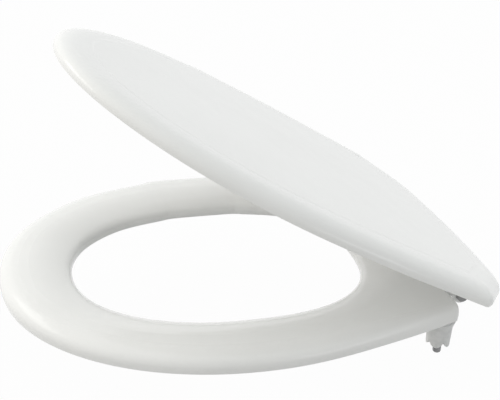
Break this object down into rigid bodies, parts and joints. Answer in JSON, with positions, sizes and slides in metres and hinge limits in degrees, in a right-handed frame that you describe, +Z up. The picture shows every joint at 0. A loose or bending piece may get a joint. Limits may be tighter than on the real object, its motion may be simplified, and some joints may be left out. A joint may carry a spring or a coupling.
{
  "type": "toilet seat",
  "caption": "White moulded toilet seat ring and domed lid on bent steel hinge rods with crown nuts, lid held half open.",
  "frame": {"origin": "on the pan's deck plane, midway between the two fixing bolts' axes", "axes": "+Z up, -Y towards the front of the seat, +X to the right as seen from the front"},
  "size_m": [0.373, 0.4518, 0.3001],
  "materials": {
    "seat_white": "gloss",
    "hinge_grey": "satin",
    "rod_steel": "satin",
    "buffer_rubber": "matte",
    "cap_dark": "satin"
  },
  "bodies": {
    "fixings": {"hinge_rod_left": "rod_steel", "hinge_rod_right": "rod_steel", "rod_cap_left": "cap_dark", "rod_cap_right": "cap_dark", "hinge_foot_left": "hinge_grey", "hinge_foot_right": "hinge_grey", "foot_gasket_left": "buffer_rubber", "foot_gasket_right": "buffer_rubber", "cone_bush_left": "hinge_grey", "cone_bush_right": "hinge_grey", "crown_nut_left": "hinge_grey", "crown_nut_right": "hinge_grey"},
    "ring": {"seat_ring": "seat_white", "ring_hinge_bush_left": "hinge_grey", "ring_hinge_bush_right": "hinge_grey", "ring_buffer_front_left": "buffer_rubber", "ring_buffer_front_right": "buffer_rubber", "ring_buffer_rear_left": "buffer_rubber", "ring_buffer_rear_right": "buffer_rubber"},
    "lid": {"seat_lid": "seat_white", "lid_hinge_bush_left": "hinge_grey", "lid_hinge_bush_right": "hinge_grey", "lid_buffer_front_left": "buffer_rubber", "lid_buffer_front_right": "buffer_rubber", "lid_buffer_rear_left": "buffer_rubber", "lid_buffer_rear_right": "buffer_rubber"}
  },
  "joints": [
    {"name": "ring_hinge", "type": "hinge", "parent": "fixings", "child": "ring", "pos_m": [0, 0, 0.012], "axis": [-1, 0, 0], "range_deg": [0, 10]},
    {"name": "lid_hinge", "type": "hinge", "parent": "ring", "child": "lid", "pos_m": [0, 0, 0.012], "axis": [-1, 0, 0], "range_deg": [-29.4, 64.6]}
  ]
}
